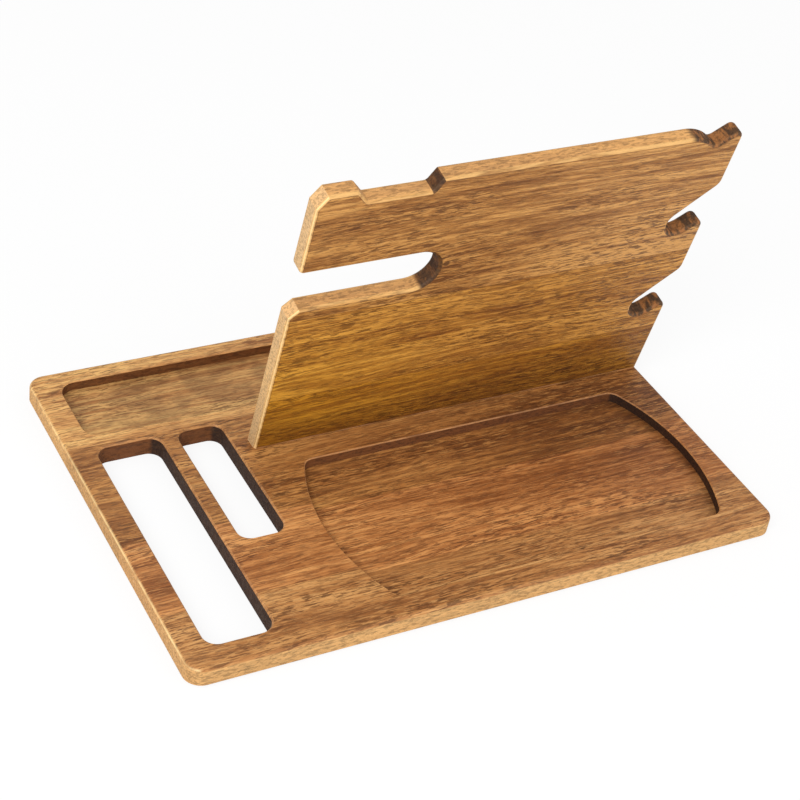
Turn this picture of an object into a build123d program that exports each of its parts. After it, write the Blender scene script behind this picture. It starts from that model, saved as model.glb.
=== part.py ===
from build123d import *
import math
import os

# A wooden desk organiser: a flat base board with milled trays and slots, and a contoured
# upright board that leans forward over it and lifts out of a groove for storage.
# Both boards are glued up from staves whose grain runs along X.
# Millimetres, +Z up, +X to the right, +Y to the back. The origin is the centre of the
# base's footprint, on the surface that the organiser stands on.

# Base board
base_width = 293.0
base_depth = 206.0
base_thickness = 9.5
base_corner_radius = 8.0
base_top_round = 2.0
base_bottom_chamfer = 0.8
side_rim = 12.6               # wood left between a pocket and the front, left or right edge
rear_rim = 9.7                # wood left behind the rear tray
tray_mouth_chamfer = 0.5
slot_mouth_chamfer = 0.8

# Staves of the base, from the back edge forwards; the front stave takes what is left
rear_stave_width = 58.0
groove_stave_width = 68.0
middle_stave_width = 45.5

# Front tray, with bowed ends
front_tray_land = 15.8        # wood left between the card slot and the tray
front_tray_length = 96.0
front_tray_depth = 5.0
front_tray_end_radius = 107.0
front_tray_corner_radius = 6.0

# Rear tray, behind the upright
rear_tray_length = 41.5
rear_tray_depth = 5.0
rear_tray_corner_radius = 8.0

# Wallet slot and card slot, both right through the base
wallet_slot_width = 31.0
wallet_slot_corner_radius = 6.5
slot_land = 8.0               # wood left between the two slots
slot_rear_land = 8.7          # wood left between the slots and the rear tray
card_slot_width = 22.0
card_slot_length = 78.5
card_slot_corner_radius = 6.0

# Upright board
upright_lean = 12.5           # degrees forward of vertical
upright_setback = 14.4        # from the front tray to its front face, at the top of the base
upright_side_inset = 0.5      # its right edge, in from the base's right edge
upright_width = 211.0
upright_height = 159.2        # along the lean, from the top of the base
upright_thickness = 8.8
upright_edge_round = 1.8

# Tongue along the upright's foot, and its groove in the base
tongue_depth = 5.5
tongue_inset = 12.0           # square shoulder at each end of the tongue
tongue_side_clearance = 0.15
tongue_end_clearance = 0.5

# Staves of the upright, from the foot upwards; the upper stave takes what is left
lower_stave_height = 33.0     # above the top of the base
centre_stave_height = 53.0

# Slot for a watch strap, open to the left, and the watch notch above it
watch_slot_height = 22.8
watch_slot_reach = 69.5       # from the left edge to the slot's round end
watch_arm_height = 44.0       # of the arm above the slot
arm_foot_radius = 2.0
arm_chamfer_side = 6.5
arm_chamfer_top = 4.5
ledge_chamfer = 4.5
notch_depth = 6.6
notch_start = 18.3            # from the left edge to the notch
notch_mouth_width = 39.3
notch_floor_width = 30.3
notch_left_slope = 5.4        # run of the left flank
notch_floor_radius = 1.8
notch_lip_radius = 1.0

# Three hooks along the right edge
hook_count = 3
hook_pitch = 55.5
hook_reach = 13.9             # from the right edge to the centre of a hook slot's round end
hook_height = 49.9            # of the lowest round end's centre, above the base
hook_slot_radius = 7.2
hook_lip_angle = 42.0
hook_top_angle = 35.0
hook_tip_radius = 3.0
hook_shoulder_radius = 6.0
hook_valley_radius = 3.5      # between the top edge's fall and the top hook
top_shoulder_reach = 28.5     # from the right edge to where the top edge starts to fall
top_shoulder_radius = 20.5

# Derived places
left_edge = -base_width / 2
right_edge = base_width / 2
front_edge = -base_depth / 2
rear_edge = base_depth / 2
rear_joint_y = rear_edge - rear_stave_width
groove_joint_y = rear_joint_y - groove_stave_width
middle_joint_y = groove_joint_y - middle_stave_width
front_tray_rear_y = front_edge + side_rim + front_tray_length
wallet_slot_x = left_edge + side_rim + wallet_slot_width / 2
slot_rear_y = rear_edge - rear_rim - rear_tray_length - slot_rear_land
wallet_slot_length = slot_rear_y - front_edge - side_rim
upright_foot_y = front_tray_rear_y + upright_setback
card_slot_x = wallet_slot_x + (wallet_slot_width + card_slot_width) / 2 + slot_land
front_tray_left = card_slot_x + card_slot_width / 2 + front_tray_land
upright_right = right_edge - upright_side_inset
upright_left = upright_right - upright_width
tongue_left = upright_left + tongue_inset
tongue_right = upright_right - tongue_inset
lean = math.radians(upright_lean)
# The upright's front face: local x along X, local y up the board, normal towards the front
upright_face = Plane(
    origin=(0, upright_foot_y, base_thickness),
    x_dir=(1, 0, 0),
    z_dir=(0, -math.cos(lean), -math.sin(lean)),
)
reach = base_width + base_depth      # longer than any cut has to be


def stave(board, joints, label):
    """Cut one stave from a board, between planes that face into it, and write it."""
    with BuildPart() as piece:
        add(board)
        for joint in joints:
            split(bisect_by=joint, keep=Keep.TOP)
    piece.part.label = label
    export_step(piece.part, f"parts/{label}.step")


def facing_rear(y):
    """Joint plane across the base, keeping what lies behind it."""
    return Plane(origin=(0, y, 0), z_dir=(0, 1, 0))


def facing_front(y):
    """Joint plane across the base, keeping what lies in front of it."""
    return Plane(origin=(0, y, 0), z_dir=(0, -1, 0))


def facing_up(height):
    """Joint plane across the upright, keeping what lies above it."""
    return Plane(origin=upright_face.from_local_coords((0, height, 0)), z_dir=upright_face.y_dir)


def facing_down(height):
    """Joint plane across the upright, keeping what lies below it."""
    return Plane(origin=upright_face.from_local_coords((0, height, 0)), z_dir=-upright_face.y_dir)


def front_tray_outline():
    """Rectangle with bowed ends, in the sketch being built."""
    front = front_edge + side_rim
    rear = front_tray_rear_y
    left = front_tray_left
    right = right_edge - side_rim
    middle = (front + rear) / 2
    bow = front_tray_end_radius - math.sqrt(front_tray_end_radius**2 - (front_tray_length / 2) ** 2)
    with BuildLine() as outline:
        ThreePointArc((right - bow, front), (right, middle), (right - bow, rear))
        Line((right - bow, rear), (left + bow, rear))
        ThreePointArc((left + bow, rear), (left, middle), (left + bow, front))
        Line((left + bow, front), (right - bow, front))
    make_face(outline.edges())
    fillet(vertices(), radius=front_tray_corner_radius)


def slot_outlines():
    """The wallet slot and the card slot, in the sketch being built."""
    with Locations((wallet_slot_x, slot_rear_y - wallet_slot_length / 2)):
        RectangleRounded(wallet_slot_width, wallet_slot_length, wallet_slot_corner_radius)
    with Locations((card_slot_x, slot_rear_y - card_slot_length / 2)):
        RectangleRounded(card_slot_width, card_slot_length, card_slot_corner_radius)


def cut_mouth():
    """The top edges that the last cut left in the part being built."""
    return edges(Select.LAST).group_by(Axis.Z)[-1]


# Base board, whole
with BuildPart() as base:
    with BuildSketch():
        RectangleRounded(base_width, base_depth, base_corner_radius)
    extrude(amount=base_thickness)
    fillet(faces().sort_by(Axis.Z)[-1].edges(), radius=base_top_round)
    chamfer(faces().sort_by(Axis.Z)[0].edges(), length=base_bottom_chamfer)
    with BuildSketch(Plane.XY.offset(base_thickness)):
        front_tray_outline()
    extrude(amount=-front_tray_depth, mode=Mode.SUBTRACT)
    chamfer(cut_mouth(), length=tray_mouth_chamfer)
    with BuildSketch(Plane.XY.offset(base_thickness)):
        with Locations((0, rear_edge - rear_rim - rear_tray_length / 2)):
            RectangleRounded(base_width - 2 * side_rim, rear_tray_length, rear_tray_corner_radius)
    extrude(amount=-rear_tray_depth, mode=Mode.SUBTRACT)
    chamfer(cut_mouth(), length=tray_mouth_chamfer)
    with BuildSketch(Plane.XY.offset(base_thickness)):
        slot_outlines()
    extrude(amount=-base_thickness, mode=Mode.SUBTRACT)
    chamfer(cut_mouth(), length=slot_mouth_chamfer)
    # Leaning groove for the upright's tongue
    with BuildSketch(upright_face.offset(tongue_side_clearance)):
        with Locations(((tongue_left + tongue_right) / 2, -tongue_depth - tongue_end_clearance)):
            Rectangle(
                tongue_right - tongue_left + 2 * tongue_end_clearance,
                2 * tongue_depth + base_thickness,
                align=(Align.CENTER, Align.MIN),
            )
    extrude(amount=-upright_thickness - 2 * tongue_side_clearance, mode=Mode.SUBTRACT)


# Upright board, whole
slot_bottom = upright_height - watch_arm_height - watch_slot_height
slot_top = upright_height - watch_arm_height
slot_end_radius = watch_slot_height / 2
notch_left = upright_left + notch_start
notch_floor_left = notch_left + notch_left_slope
notch_floor = upright_height - notch_depth
hook_x = upright_right - hook_reach
lip_angle = math.radians(hook_lip_angle)
top_angle = math.radians(hook_top_angle)
lip_start = (-hook_slot_radius * math.sin(lip_angle), hook_slot_radius * math.cos(lip_angle))
hook_start = (hook_slot_radius * math.sin(top_angle), -hook_slot_radius * math.cos(top_angle))
hook_tip_rise = hook_start[1] + (hook_reach - hook_start[0]) * math.tan(top_angle)
lip_corner_rise = lip_start[1] + (hook_reach - lip_start[0]) * math.tan(lip_angle)
hook_heights = [hook_height + i * hook_pitch for i in range(hook_count)]
top_tip = hook_heights[-1] + hook_tip_rise
shoulder_x = upright_right - top_shoulder_reach
upright_axis = Axis(upright_face.origin, upright_face.z_dir)


def nearest_corner(x, y):
    """The corner of the sketch being built that lies nearest to a point."""
    return vertices().sort_by_distance((x, y))[0]


def watch_cuts():
    """The watch slot and the notch in the top edge, cut from the sketch being built."""
    with Locations((upright_left, slot_bottom)):
        Rectangle(
            watch_slot_reach - slot_end_radius,
            watch_slot_height,
            align=(Align.MIN, Align.MIN),
            mode=Mode.SUBTRACT,
        )
    with Locations((upright_left + watch_slot_reach - slot_end_radius, slot_bottom + slot_end_radius)):
        Circle(slot_end_radius, mode=Mode.SUBTRACT)
    with BuildLine() as notch:
        Polyline(
            (notch_left, upright_height),
            (notch_floor_left, notch_floor),
            (notch_floor_left + notch_floor_width, notch_floor),
            (notch_left + notch_mouth_width, upright_height),
            close=True,
        )
    make_face(notch.edges(), mode=Mode.SUBTRACT)


def hook_slot(height):
    """Open slot above a hook, with a round end between its lip and the hook's top."""
    out = 2 * hook_reach / math.cos(lip_angle)
    lip_near = (hook_x + lip_start[0], height + lip_start[1])
    lip_far = (lip_near[0] + out * math.cos(lip_angle), lip_near[1] + out * math.sin(lip_angle))
    hook_near = (hook_x + hook_start[0], height + hook_start[1])
    hook_far = (hook_near[0] + out * math.cos(top_angle), hook_near[1] + out * math.sin(top_angle))
    with BuildLine() as outline:
        Line(lip_far, lip_near)
        ThreePointArc(lip_near, (hook_x - hook_slot_radius, height), hook_near)
        Line(hook_near, hook_far)
        Line(hook_far, lip_far)
    make_face(outline.edges(), mode=Mode.SUBTRACT)


def top_hook():
    """The top hook, and the fall of the top edge into its valley, in the sketch being built."""
    hook_top = top_tip - top_shoulder_reach * math.tan(top_angle)
    with BuildLine() as outline:
        Polyline(
            (shoulder_x, -tongue_depth),
            (upright_right, -tongue_depth),
            (upright_right, top_tip),
            (shoulder_x, hook_top),
            close=True,
        )
    make_face(outline.edges())
    with Locations((shoulder_x, upright_height - top_shoulder_radius)):
        Circle(top_shoulder_radius)
    # The valley lies where the shoulder's circle crosses the hook's sloping top
    along = (upright_height - top_shoulder_radius - hook_top) * math.sin(top_angle)
    off = (upright_height - top_shoulder_radius - hook_top) * math.cos(top_angle)
    along += math.sqrt(top_shoulder_radius**2 - off**2)
    valley = (shoulder_x + along * math.cos(top_angle), hook_top + along * math.sin(top_angle))
    fillet(nearest_corner(*valley), radius=hook_valley_radius)


with BuildPart() as upright:
    with BuildSketch(upright_face):
        with Locations((upright_left, -tongue_depth)):
            Rectangle(shoulder_x - upright_left, upright_height + tongue_depth, align=(Align.MIN, Align.MIN))
        top_hook()
        watch_cuts()
        for height in hook_heights[:-1]:
            hook_slot(height)
        fillet(nearest_corner(upright_left, slot_top), radius=arm_foot_radius)
        chamfer(nearest_corner(upright_left, slot_bottom), length=ledge_chamfer)
        chamfer(nearest_corner(upright_left, upright_height), length=arm_chamfer_top, length2=arm_chamfer_side)
        fillet(nearest_corner(notch_left, upright_height), radius=notch_lip_radius)
        fillet(nearest_corner(notch_left + notch_mouth_width, upright_height), radius=notch_lip_radius)
        fillet(nearest_corner(notch_floor_left, notch_floor), radius=notch_floor_radius)
        fillet(nearest_corner(notch_floor_left + notch_floor_width, notch_floor), radius=notch_floor_radius)
        for height in hook_heights:
            fillet(nearest_corner(upright_right, height + hook_tip_rise), radius=hook_tip_radius)
        for height in hook_heights[:-1]:
            fillet(nearest_corner(upright_right, height + lip_corner_rise), radius=hook_shoulder_radius)
    extrude(amount=-upright_thickness)
    outline_edges = faces().sort_by(upright_axis)[0].edges() + faces().sort_by(upright_axis)[-1].edges()
    fillet(outline_edges.filter_by(lambda e: e.center().Z > base_thickness), radius=upright_edge_round)
    # Level shoulders beside the tongue, which stand on the base
    for side, tongue_end in ((Align.MAX, tongue_left), (Align.MIN, tongue_right)):
        with Locations((tongue_end, upright_foot_y, base_thickness)):
            Box(reach, reach, reach, align=(side, Align.CENTER, Align.MAX), mode=Mode.SUBTRACT)

# Staves, cut from the finished boards along their glue joints
os.makedirs("parts", exist_ok=True)
left_of_slot = Plane(origin=(wallet_slot_x, 0, 0), z_dir=(-1, 0, 0))
right_of_slot = Plane(origin=(wallet_slot_x, 0, 0), z_dir=(1, 0, 0))
base_staves = {
    "base_rear_stave": [facing_rear(rear_joint_y)],
    "base_groove_stave": [facing_front(rear_joint_y), facing_rear(groove_joint_y)],
    "base_middle_stave": [facing_front(groove_joint_y), facing_rear(middle_joint_y), right_of_slot],
    "base_middle_stave_left_end": [facing_front(groove_joint_y), facing_rear(middle_joint_y), left_of_slot],
    "base_front_stave": [facing_front(middle_joint_y)],
}
upright_staves = {
    "upright_lower_stave": [facing_down(lower_stave_height)],
    "upright_centre_stave": [
        facing_up(lower_stave_height),
        facing_down(lower_stave_height + centre_stave_height),
    ],
    "upright_upper_stave": [facing_up(lower_stave_height + centre_stave_height)],
}
for label, joints in base_staves.items():
    stave(base.part, joints, label)
for label, joints in upright_staves.items():
    stave(upright.part, joints, label)
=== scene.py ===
import math

import bpy
from mathutils import Euler, Matrix, Vector

# A wooden desk organiser: base board with trays and slots, and an upright that leans forward.
# Metres, in the frame of the CAD model: +Z up, +X right, +Y to the back.

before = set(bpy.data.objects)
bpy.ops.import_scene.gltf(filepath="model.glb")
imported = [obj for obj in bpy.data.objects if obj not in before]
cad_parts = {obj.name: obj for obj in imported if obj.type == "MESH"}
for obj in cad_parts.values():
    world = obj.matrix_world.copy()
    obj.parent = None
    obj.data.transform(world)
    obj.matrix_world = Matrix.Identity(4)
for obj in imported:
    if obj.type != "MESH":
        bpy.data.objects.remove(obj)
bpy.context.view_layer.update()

# ---------------------------------------------------------------- places shared with the model
BASE_TOP = 0.0095                        # top of the base
BASE_HALF = (0.1465, 0.103)              # half of the base's width and depth
POCKETS_FROM = (0.010, 0.0085)           # in from the base's edges: every pocket is further in
TRAY_FLOOR = 0.0045                      # top of the trays' floors
TRAY_BOW_CENTRE = (0.0269, -0.0424, 0)   # of the front tray's bowed right end
TRAY_BOW_RADIUS = 0.107
REAR_JOINT, GROOVE_JOINT, MIDDLE_JOINT = 0.045, -0.023, -0.0685    # glue joints of the base
LEAN = math.radians(12.5)                # the upright's lean, forward of vertical
FOOT = Vector((0, 0.020, BASE_TOP))      # the upright's front face at the top of the base
LOWER_JOINT, CENTRE_JOINT = 0.033, 0.086   # glue joints of the upright, up from its foot
JOINT_LINE_HALF = 0.0004                 # half of a glue joint's dark line
SCORCHED_FROM = -0.017                   # across the upright: left-facing cuts past it are dark
HOOKS_FROM = 0.119                       # across the upright: the hooks are past it
BURN_MARK = (0.0074, 0.1062, 0)          # across and up the upright, at the long slot's round end
BURN_MARK_HALF = (0.0020, 0.0016)        # half of the mark's width and height


# ---------------------------------------------------------------- node helpers
class Nodes:
    """Adds nodes to a material's tree. A value is a number, a tuple or another node's output."""

    def __init__(self, tree):
        self.tree = tree

    def put(self, socket, value):
        if isinstance(value, bpy.types.NodeSocket):
            self.tree.links.new(value, socket)
        elif value is not None:
            socket.default_value = value

    def add(self, kind, inputs=None, **props):
        node = self.tree.nodes.new("ShaderNode" + kind)
        for name, value in props.items():
            setattr(node, name, value)
        for name, value in (inputs or {}).items():
            self.put(node.inputs[name], value)
        return node

    def math(self, operation, a, b=None, c=None):
        node = self.add("Math", operation=operation)
        for i, value in enumerate((a, b, c)):
            self.put(node.inputs[i], value)
        return node.outputs[0]

    def product(self, *values):
        result = values[0]
        for value in values[1:]:
            result = self.math("MULTIPLY", result, value)
        return result

    def total(self, *values):
        result = values[0]
        for value in values[1:]:
            result = self.math("ADD", result, value)
        return result

    def vector(self, operation, a, b=None, out="Vector"):
        node = self.add("VectorMath", operation=operation)
        for i, value in enumerate((a, b)):
            self.put(node.inputs[i], value)
        return node.outputs[out]

    def step(self, value, low, high, to_low=0.0, to_high=1.0):
        """Smooth step of value from low to high, mapped to to_low and to_high."""
        limits = {"From Min": low, "From Max": high, "To Min": to_low, "To Max": to_high}
        node = self.add("MapRange", {"Value": value, **limits}, interpolation_type="SMOOTHSTEP")
        return node.outputs[0]

    def near(self, value, centre, width):
        """1 where value is centre, falling to 0 at width from it."""
        return self.step(self.math("ABSOLUTE", self.math("SUBTRACT", value, centre)), width, 0.0)

    def mix(self, factor, a, b):
        node = self.add("Mix", data_type="RGBA", clamp_factor=True)
        self.put(node.inputs["Factor"], factor)
        self.put(node.inputs[6], a)
        self.put(node.inputs[7], b)
        return node.outputs[2]

    def shade(self, colour, factor):
        """colour times a number."""
        node = self.add("VectorMath", {0: colour, "Scale": factor}, operation="SCALE")
        return node.outputs[0]

    def ramp(self, value, *stops):
        """Colour ramp through stops, each a place from 0 to 1 and a colour."""
        node = self.add("ValToRGB", {"Fac": value})
        ends = node.color_ramp.elements
        ends[0].position, ends[0].color = stops[0]
        ends[1].position, ends[1].color = stops[-1]
        for place, colour in stops[1:-1]:
            ends.new(place).color = colour
        return node.outputs[0]

    def noise(self, place, scale, shift=(0, 0, 0), detail=2.0, roughness=0.5, out=0):
        """Noise whose features are 1/scale metres long on each axis."""
        spot = self.vector("ADD", self.vector("MULTIPLY", place, scale), shift)
        inputs = {"Vector": spot, "Scale": 1.0, "Detail": detail, "Roughness": roughness}
        return self.add("TexNoise", inputs).outputs[out]


def rgb(red, green, blue):
    """A colour as 0 to 255 on screen, as linear light."""
    def linear(v):
        v /= 255
        return v / 12.92 if v <= 0.04045 else ((v + 0.055) / 1.055) ** 2.4

    return (linear(red), linear(green), linear(blue), 1.0)


# ---------------------------------------------------------------- wood
# Scales of the grain's patterns: each pattern is 1/scale metres long along the grain, across it
# and through the board
WANDER, RIPPLE = (5, 22, 22), (35, 160, 160)
WANDER_REACH, RIPPLE_REACH = 0.014, 0.0016    # and how far they move the grain, in metres
RING_WAVER, RING_PATCHES = (6, 90, 90), (7, 40, 40)
BROAD_TONE, LIVELY_PATCHES, VEIN_PATCHES = (5, 34, 34), (14, 70, 70), (9, 60, 60)
STREAKS = (20, 430, 430)
DARK_FIBRES, LIGHT_FIBRES, PORES = (150, 1350, 1350), (120, 1200, 1200), (150, 2000, 2000)
END_GRAIN = (300, 1000, 1000)
CUTTER_PATCHES, EDGE_FLECKS, CHATTER = (90, 90, 90), (60, 420, 420), (380, 380, 140)

# Places of a palette's four colours on the scale from pale to dark wood
PALETTE_PLACES = (0.05, 0.3, 0.6, 1.0)

# Colours that the milling and sanding left, and colours of painted light and shade
# The first is the sanded outer walls' colour, paled further as painted light from the front and
# left
SANDED_SIDE_AND_PAINTED_LIGHT, SANDED_END = rgb(236, 188, 122), rgb(190, 140, 88)
# Pocket walls: cutter burn and painted shade of the pockets, darkest on walls that face left
BURN_AND_SHADE_DARK, BURN_AND_SHADE_LIGHT = rgb(40, 20, 9), rgb(106, 60, 26)
# The first is a painted highlight on the base's left-facing outer edges
BASE_EDGE_HIGHLIGHT, POCKET_EDGE, TRAY_SCORCH = rgb(250, 214, 150), rgb(200, 144, 92), rgb(70, 42, 24)
# Painted yellow bounce light, as if from yellow things beside the upright
YELLOW_BOUNCE_TINT = (1.22, 1.28, 0.42)         # multiplies the wood's colour
# The first is pale end grain, paled further as painted light from the left
PALE_END_AND_PAINTED_LIGHT, PALE_TOP = rgb(236, 198, 146), rgb(228, 172, 110)
# The middle one is a painted highlight along the upright's foot, the last a painted highlight on
# the left end's edges
EASED_EDGE, FOOT_HIGHLIGHT, LEFT_END_HIGHLIGHT = rgb(222, 174, 108), rgb(206, 150, 104), rgb(250, 214, 152)
DARK_LINE, BURNT = rgb(84, 48, 20), rgb(78, 44, 17)
SCORCHED, SCORCH_WORN_OFF = rgb(46, 23, 10), rgb(142, 88, 42)


class Surface:
    """Where a point of a board is and how it faces.

    x runs along the grain, y across it and z through the board. On the upright y is the height
    above its foot, measured along the lean.
    """

    def __init__(self, n, upright):
        coords = n.add("TexCoord")
        self.place, normal = coords.outputs["Object"], coords.outputs["Normal"]
        if upright:
            turn = Euler((-math.pi / 2 - LEAN, 0, 0))
            shift = -(turn.to_matrix() @ FOOT)
            placed = {"Vector": self.place, "Rotation": turn, "Location": shift}
            self.place = n.add("Mapping", placed, vector_type="POINT").outputs[0]
            turned = {"Vector": normal, "Rotation": turn}
            normal = n.add("Mapping", turned, vector_type="VECTOR").outputs[0]
        self.x, self.y, self.z = n.add("SeparateXYZ", {"Vector": self.place}).outputs
        self.nx, self.ny, nz = n.add("SeparateXYZ", {"Vector": normal}).outputs
        self.nz = n.math("ABSOLUTE", nz)
        # 1 on the walls, which are square to the faces, and on the eased edges between the two
        self.wall = n.step(self.nz, 0.5, 0.2)
        self.eased = n.math("MULTIPLY", n.step(self.nz, 0.1, 0.3), n.step(self.nz, 0.99, 0.9))
        # Where a wall or an eased edge faces, in the plane of the board
        sideways = n.math("SQRT", n.math("SUBTRACT", 1.0001, n.product(self.nz, self.nz)))
        self.left_facing = n.step(n.math("DIVIDE", self.nx, sideways), -0.3, -0.5)
        self.up_facing = n.step(n.math("DIVIDE", self.ny, sideways), 0.2, 0.4)


def growth_rings(n, flow, shift, pith, spacing, tilt):
    """1 in the dark late wood of each ring around the pith."""
    x, y, z = n.add("SeparateXYZ", {"Vector": flow}).outputs
    across = n.math("SUBTRACT", y, pith[0])
    through = n.math("SUBTRACT", z, n.math("MULTIPLY_ADD", x, tilt, pith[1]))
    radius = n.math("SQRT", n.total(n.product(across, across), n.product(through, through)))
    waver = n.math("MULTIPLY", n.noise(flow, RING_WAVER, shift, detail=3), 1.6)
    ring = n.math("FRACT", n.math("ADD", n.math("DIVIDE", radius, spacing), waver))
    late = n.product(n.step(ring, 0.3, 0.9), n.step(ring, 0.93, 1.0, 1.0, 0.0))
    return n.product(late, n.step(n.noise(flow, RING_PATCHES, shift), 0.35, 0.65, 0.2, 1.0))


def wood(name, palette, seed, pith, spacing, finish, upright=False, rings=0.2, tilt=0.0,
         drift=(0, 1, 0), veins=(), joint=None):
    """Oiled open-grained wood, cut from a log whose pith runs near pith = (across, through).

    palette runs from the palest to the darkest wood. seed shifts the patterns. The growth rings
    are spacing apart and rings deep, and the pith's place through the board changes by tilt along
    it. drift is two places along the board and how much darker the wood gets from one to the
    other. A vein is a dark band: its place across the board, its half width and its depth. joint
    is the place of a glue line across the board. finish adds what the milling left, with painted
    light and shade.
    """
    material = bpy.data.materials.new(name)
    material.use_nodes = True
    material.node_tree.nodes.clear()
    n = Nodes(material.node_tree)
    at = Surface(n, upright)
    shift = (seed * 3.7, seed * 5.3, seed * 2.9)

    # The grain wanders a little along the board
    wander = n.vector("SUBTRACT", n.noise(at.place, WANDER, shift, out=1), (0.5, 0.5, 0.5))
    ripple = n.vector("SUBTRACT", n.noise(at.place, RIPPLE, shift, out=1), (0.5, 0.5, 0.5))
    wander = n.vector("MULTIPLY", wander, (0.0, WANDER_REACH, WANDER_REACH))
    ripple = n.vector("MULTIPLY", ripple, (0.0, RIPPLE_REACH, RIPPLE_REACH))
    flow = n.vector("ADD", n.vector("ADD", at.place, wander), ripple)

    # Broad tone, growth rings, veins and streaks set how dark the wood is
    broad = n.step(n.noise(at.place, BROAD_TONE, shift), 0.32, 0.68, -0.11, 0.11)
    late = n.math("MULTIPLY", growth_rings(n, flow, shift, pith, spacing, tilt), rings)
    streak = n.step(n.noise(flow, STREAKS, shift, detail=4, roughness=0.65), 0.32, 0.68)
    drift_from, drift_to, drift_depth = drift
    drifted = n.step(at.x, drift_from, drift_to, 0.0, drift_depth)
    darkness = n.total(broad, late, n.math("MULTIPLY_ADD", streak, 0.44, 0.06), drifted)
    vein_y = n.add("SeparateXYZ", {"Vector": flow}).outputs[1]
    for centre, width, depth in veins:
        fading = n.step(n.noise(at.place, VEIN_PATCHES, shift), 0.38, 0.55, 0.25, 1.0)
        darkness = n.math("ADD", darkness, n.product(n.near(vein_y, centre, width), fading, depth))
    colour = n.ramp(darkness, *zip(PALETTE_PLACES, palette))

    # Short dark and light fibres, and open pores, along the grain
    fibre_shift = (shift[1], shift[2], shift[0])
    lively = n.step(n.noise(at.place, LIVELY_PATCHES, shift), 0.35, 0.65, 0.45, 1.0)
    dark_fibre = n.noise(flow, DARK_FIBRES, shift, detail=3, roughness=0.6)
    dark_fibre = n.step(dark_fibre, 0.5, 0.57)
    light_fibre = n.noise(flow, LIGHT_FIBRES, fibre_shift, detail=3, roughness=0.6)
    light_fibre = n.step(light_fibre, 0.53, 0.6)
    pores = n.step(n.noise(flow, PORES, fibre_shift, detail=1.5), 0.56, 0.68)
    palest, darkest = palette[0], palette[-1]
    colour = n.mix(n.product(light_fibre, lively, 0.6), colour, palest)
    colour = n.mix(n.product(dark_fibre, lively, 0.75), colour, darkest)
    colour = n.shade(colour, n.math("MULTIPLY_ADD", pores, -0.3, 1.04))
    if joint is not None:
        line = n.near(at.y, joint, JOINT_LINE_HALF)
        colour = n.mix(n.math("MULTIPLY", line, 0.45), colour, darkest)

    colour = finish(n, at, colour)

    # Walls are speckled with end grain, and rougher than the faces
    speckle = n.noise(at.place, END_GRAIN, shift, detail=3, roughness=0.65)
    speckle = n.math("MULTIPLY", n.step(speckle, 0.47, 0.6), at.wall)
    colour = n.shade(colour, n.math("MULTIPLY_ADD", speckle, -0.36, 1.0))
    rough = n.math("MULTIPLY_ADD", streak, 0.14, 0.44)
    rough = n.math("ADD", rough, n.math("MULTIPLY", at.wall, 0.25))
    height = n.math("SUBTRACT", n.math("MULTIPLY", dark_fibre, -0.5), pores)
    bump = n.add("Bump", {"Height": height, "Strength": 0.4, "Distance": 0.00025})
    shader = n.add("BsdfPrincipled", {
        "Base Color": colour,
        "Roughness": rough,
        "Specular IOR Level": 0.3,
        "Normal": bump.outputs[0],
    })
    n.add("OutputMaterial", {"Surface": shader.outputs[0]})
    return material


def base_finish(n, at, colour):
    """Pale sanded outside with painted light, a painted highlight on the left-facing outer edges,
    pale line round each pocket, and dark walls inside: cutter burn with painted shade.
    """
    blur = 0.0005
    limits = [half - rim for half, rim in zip(BASE_HALF, POCKETS_FROM)]
    inside = n.product(
        n.step(n.math("ABSOLUTE", at.x), limits[0] - blur, limits[0] + blur, 1.0, 0.0),
        n.step(n.math("ABSOLUTE", at.y), limits[1] - blur, limits[1] + blur, 1.0, 0.0),
    )
    outside = n.math("SUBTRACT", 1.0, inside)
    patches = n.noise(at.place, CUTTER_PATCHES, detail=3)
    end = n.step(n.math("ABSOLUTE", at.nx), 0.5, 0.8)
    # Outer walls paler: sanded wood, and painted light from the front and left
    colour = n.mix(n.product(at.wall, outside, 0.5), colour, SANDED_SIDE_AND_PAINTED_LIGHT)
    colour = n.mix(n.product(end, at.wall, outside, patches, 0.5), colour, SANDED_END)
    # Pocket walls darkened: cutter burn, and painted shade in the pockets
    burn_and_shade = n.mix(n.step(at.nx, -0.6, -0.2), BURN_AND_SHADE_DARK, BURN_AND_SHADE_LIGHT)
    colour = n.mix(n.product(at.wall, inside, 0.93), colour, burn_and_shade)
    mark = n.step(patches, 0.35, 0.6, 0.3, 0.75)
    # Painted highlight along the left-facing outer edges
    line = n.product(n.near(at.nz, 0.6, 0.35), mark, outside, at.left_facing)
    colour = n.mix(line, colour, BASE_EDGE_HIGHLIGHT)
    colour = n.mix(n.product(at.eased, mark, inside, 0.5), colour, POCKET_EDGE)

    # The cutter scorched the front tray's floor along its right end
    in_plan = n.vector("MULTIPLY", at.place, (1, 1, 0))
    bow = n.vector("DISTANCE", in_plan, TRAY_BOW_CENTRE, out="Value")
    by_bow = n.step(bow, TRAY_BOW_RADIUS - 0.007, TRAY_BOW_RADIUS)
    low = n.step(at.z, TRAY_FLOOR + 0.0015, TRAY_FLOOR + 0.0005)
    level = n.step(at.nz, 0.8, 0.95)
    return n.mix(n.product(by_bow, low, level, mark, 0.6), colour, TRAY_SCORCH)


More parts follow.
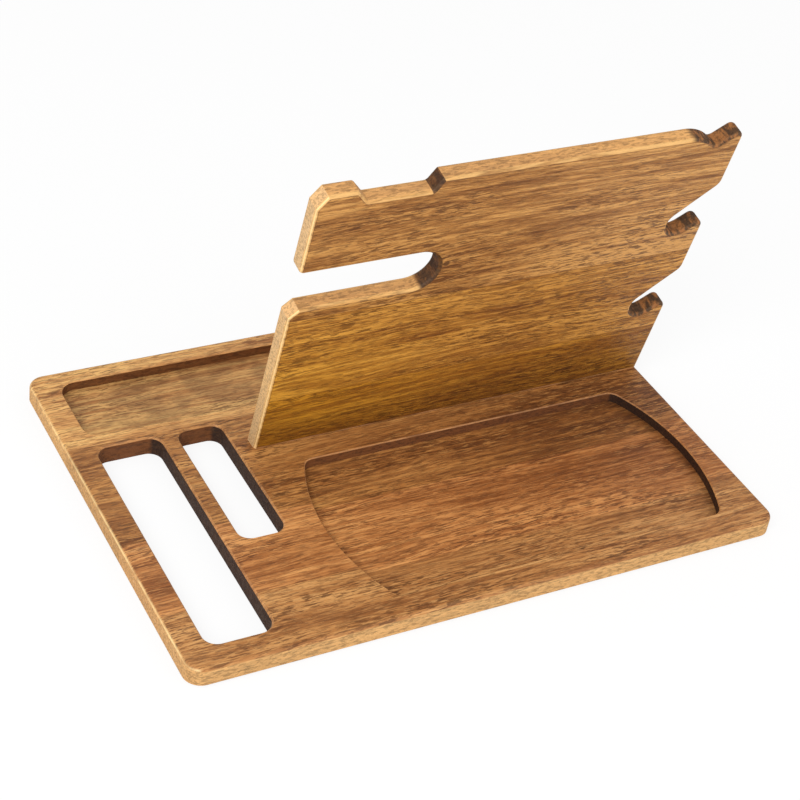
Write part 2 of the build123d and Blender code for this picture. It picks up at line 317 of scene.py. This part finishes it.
def upright_finish(n, at, colour):
    """Painted bounce light and painted shade on the face, pale end grain and painted light at the
    left, painted highlights, scorched cuts to the right, eased edges and a burn mark.
    """
    # Painted yellow bounce light at the lower left, and painted shade darker towards the foot
    bounce_area = n.product(n.step(at.x, 0.06, -0.06), n.step(at.y, 0.11, 0.03))
    bounce_tinted = n.vector("MULTIPLY", colour, YELLOW_BOUNCE_TINT)
    colour = n.mix(n.math("MULTIPLY", bounce_area, 0.55), colour, bounce_tinted)
    # Painted shade: darker towards the foot, where the upright meets the base
    colour = n.shade(colour, n.step(at.y, 0.0, 0.04, 0.72, 1.0))

    # Pale left end, partly painted light from the left; pale top edges and eased edges; a painted
    # highlight along the foot and on the left end's edges; and a dark line where an edge starts
    right_part = n.step(at.x, SCORCHED_FROM - 0.003, SCORCHED_FROM + 0.003)
    left_end = n.product(at.left_facing, n.math("SUBTRACT", 1.0, right_part))
    colour = n.mix(n.product(left_end, at.wall, 0.66), colour, PALE_END_AND_PAINTED_LIGHT)
    upper = n.product(n.step(at.ny, 0.35, 0.7), at.wall)
    colour = n.mix(n.product(upper, 0.5), colour, PALE_TOP)
    flecks = n.step(n.noise(at.place, EDGE_FLECKS, detail=3), 0.4, 0.6, 0.25, 0.8)
    colour = n.mix(n.product(at.eased, flecks), colour, EASED_EDGE)
    # Painted highlight: a pale line along the upright's foot
    colour = n.mix(n.product(n.near(at.y, 0.0004, 0.0008), flecks, 0.8), colour, FOOT_HIGHLIGHT)
    # Painted highlight on the left end's eased edges
    colour = n.mix(n.product(n.near(at.nz, 0.65, 0.3), left_end, 0.8), colour, LEFT_END_HIGHLIGHT)
    line = n.product(n.near(at.nz, 0.965, 0.03), n.math("MAXIMUM", at.left_facing, at.up_facing))
    colour = n.mix(n.math("MULTIPLY", line, 0.7), colour, DARK_LINE)

    # The cutter scorched the hooks, the long slot's end and the notch's right flank, and the
    # scorch is more worn off further to the right
    hooks = n.product(at.up_facing, n.step(at.x, HOOKS_FROM - 0.002, HOOKS_FROM + 0.002))
    scorched = n.math("MAXIMUM", n.product(at.left_facing, right_part), hooks)
    scorched = n.product(scorched, n.step(at.nz, 0.985, 0.93))
    chatter = n.noise(at.place, CHATTER, detail=3, roughness=0.6)
    worn = n.product(n.step(chatter, 0.42, 0.62), n.step(at.x, 0.02, 0.1, 0.3, 1.0))
    scorch = n.mix(worn, SCORCHED, SCORCH_WORN_OFF)
    colour = n.mix(n.product(scorched, 0.92), colour, scorch)

    # 0 at the burn mark's middle and 1 at its outline
    away = n.vector("SUBTRACT", at.place, BURN_MARK)
    away = n.vector("MULTIPLY", away, (1 / BURN_MARK_HALF[0], 1 / BURN_MARK_HALF[1], 0))
    away = n.vector("LENGTH", away, out="Value")
    burn = n.product(n.step(away, 1.1, 0.6), n.step(at.nz, 0.3, 0.6))
    return n.mix(n.math("MULTIPLY", burn, 0.85), colour, BURNT)


# From the palest to the darkest wood of each stave
rear_palette = rgb(226, 178, 108), rgb(206, 152, 90), rgb(170, 113, 61), rgb(104, 62, 28)
groove_palette = rgb(190, 136, 76), rgb(160, 106, 54), rgb(122, 74, 34), rgb(74, 40, 16)
middle_palette = rgb(206, 146, 86), rgb(174, 114, 62), rgb(138, 82, 38), rgb(84, 44, 18)
front_palette = rgb(200, 148, 90), rgb(170, 116, 64), rgb(136, 85, 42), rgb(80, 44, 18)
lower_palette = rgb(196, 136, 50), rgb(158, 102, 31), rgb(124, 71, 18), rgb(74, 38, 8)
centre_palette = rgb(204, 146, 68), rgb(168, 113, 45), rgb(130, 78, 27), rgb(78, 41, 12)
upper_palette = rgb(200, 146, 80), rgb(162, 110, 54), rgb(126, 78, 33), rgb(76, 40, 14)
woods = {
    "base_rear_stave": wood(
        "wood_rear", rear_palette, 1, (0.02, -0.05), 0.006, base_finish,
        veins=[(0.087, 0.0025, 0.45), (0.066, 0.0012, 0.3), (0.0965, 0.001, 0.3)],
        joint=REAR_JOINT),
    # The groove stave darkens to the right: partly the wood, partly painted shadow of the upright
    # and of things on the strip
    "base_groove_stave": wood(
        "wood_groove", groove_palette, 2, (0.05, -0.07), 0.007, base_finish,
        drift=(0.0, 0.09, 0.3), joint=GROOVE_JOINT),
    "base_middle_stave": wood(
        "wood_middle", middle_palette, 3, (-0.06, -0.06), 0.007, base_finish,
        drift=(0.0, 0.08, 0.14), joint=MIDDLE_JOINT),
    "base_front_stave": wood(
        "wood_front", front_palette, 4, (-0.09, -0.04), 0.006, base_finish),
    "upright_lower_stave": wood(
        "wood_lower", lower_palette, 5, (0.01, -0.06), 0.007, upright_finish, upright=True,
        joint=LOWER_JOINT),
    "upright_centre_stave": wood(
        "wood_centre", centre_palette, 6, (0.06, -0.05), 0.007, upright_finish, upright=True,
        veins=[(0.067, 0.0012, 0.35)], joint=CENTRE_JOINT),
    "upright_upper_stave": wood(
        "wood_upper", upper_palette, 27, (0.10, -0.05), 0.007, upright_finish, upright=True,
        rings=0.28, tilt=0.06, drift=(0.02, 0.12, -0.2),
        veins=[(0.097, 0.001, 0.3), (0.143, 0.0012, 0.4)]),
}
woods["base_middle_stave_left_end"] = woods["base_middle_stave"]
for node, material in woods.items():
    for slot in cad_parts[node].material_slots:
        slot.material = material

# ---------------------------------------------------------------- floor
FLOOR_HALF = 4
FLOOR_DROP = 0.0002    # so that the floor and the base's underside are not in one plane
floor_corners = [
    (-FLOOR_HALF, -FLOOR_HALF, 0),
    (FLOOR_HALF, -FLOOR_HALF, 0),
    (FLOOR_HALF, FLOOR_HALF, 0),
    (-FLOOR_HALF, FLOOR_HALF, 0),
]
floor_mesh = bpy.data.meshes.new("floor")
floor_mesh.from_pydata(floor_corners, [], [(0, 1, 2, 3)])
floor = bpy.data.objects.new("floor", floor_mesh)
floor.location.z = -FLOOR_DROP
bpy.context.scene.collection.objects.link(floor)
white = bpy.data.materials.new("floor_white")
white.use_nodes = True
white.node_tree.nodes.clear()
n = Nodes(white.node_tree)
seen = n.add("LightPath").outputs["Is Camera Ray"]
paper = n.add("BsdfDiffuse", {"Color": (0.86, 0.86, 0.86, 1)})
glow = n.add("Emission", {"Color": (1, 1, 1, 1), "Strength": 1.0})
part_white = n.math("MULTIPLY", seen, 0.85)
both = n.add("MixShader", {0: part_white, 1: paper.outputs[0], 2: glow.outputs[0]})
n.add("OutputMaterial", {"Surface": both.outputs[0]})
floor_mesh.materials.append(white)

# ---------------------------------------------------------------- light
world = bpy.data.worlds.new("studio")
bpy.context.scene.world = world
world.use_nodes = True
background = world.node_tree.nodes["Background"]
background.inputs["Color"].default_value = (1, 1, 1, 1)
background.inputs["Strength"].default_value = 0.75


def soft_light(name, place, target, size, power):
    """A square area light of a size in metres and a power in watts, which faces target."""
    light = bpy.data.lights.new(name, "AREA")
    light.shape = "SQUARE"
    light.size = size
    light.energy = power
    lamp = bpy.data.objects.new(name, light)
    lamp.location = place
    lamp.rotation_euler = (Vector(target) - Vector(place)).to_track_quat("-Z", "Y").to_euler()
    bpy.context.scene.collection.objects.link(lamp)


soft_light("key", (-0.9, -0.7, 1.0), (0, 0, 0.05), 0.7, 14)
soft_light("fill", (0.9, -1.0, 0.6), (0, 0, 0.05), 1.0, 5)

# ---------------------------------------------------------------- camera
CAMERA_PLACE = (-0.3839, -0.5987, 0.5687)
AZIMUTH = math.radians(-32.44)
ELEVATION = math.radians(36.78)
ROLL = math.radians(8.93)
FOCAL_PIXELS = 1935.35
IMAGE_PIXELS = 800
right = Vector((math.cos(AZIMUTH), math.sin(AZIMUTH), 0))
forward = Vector((
    -math.sin(AZIMUTH) * math.cos(ELEVATION),
    math.cos(AZIMUTH) * math.cos(ELEVATION),
    -math.sin(ELEVATION),
))
up = right.cross(forward)
rolled_right = right * math.cos(ROLL) + up * math.sin(ROLL)
rolled_up = up * math.cos(ROLL) - right * math.sin(ROLL)
lens = bpy.data.cameras.new("camera")
lens.sensor_width = 36.0
lens.lens = FOCAL_PIXELS / IMAGE_PIXELS * lens.sensor_width
lens.clip_start = 0.01
camera = bpy.data.objects.new("camera", lens)
turn = Matrix((rolled_right, rolled_up, -forward)).transposed().to_4x4()
camera.matrix_world = Matrix.Translation(CAMERA_PLACE) @ turn
bpy.context.scene.collection.objects.link(camera)
bpy.context.scene.camera = camera
bpy.context.scene.view_settings.view_transform = "Standard"
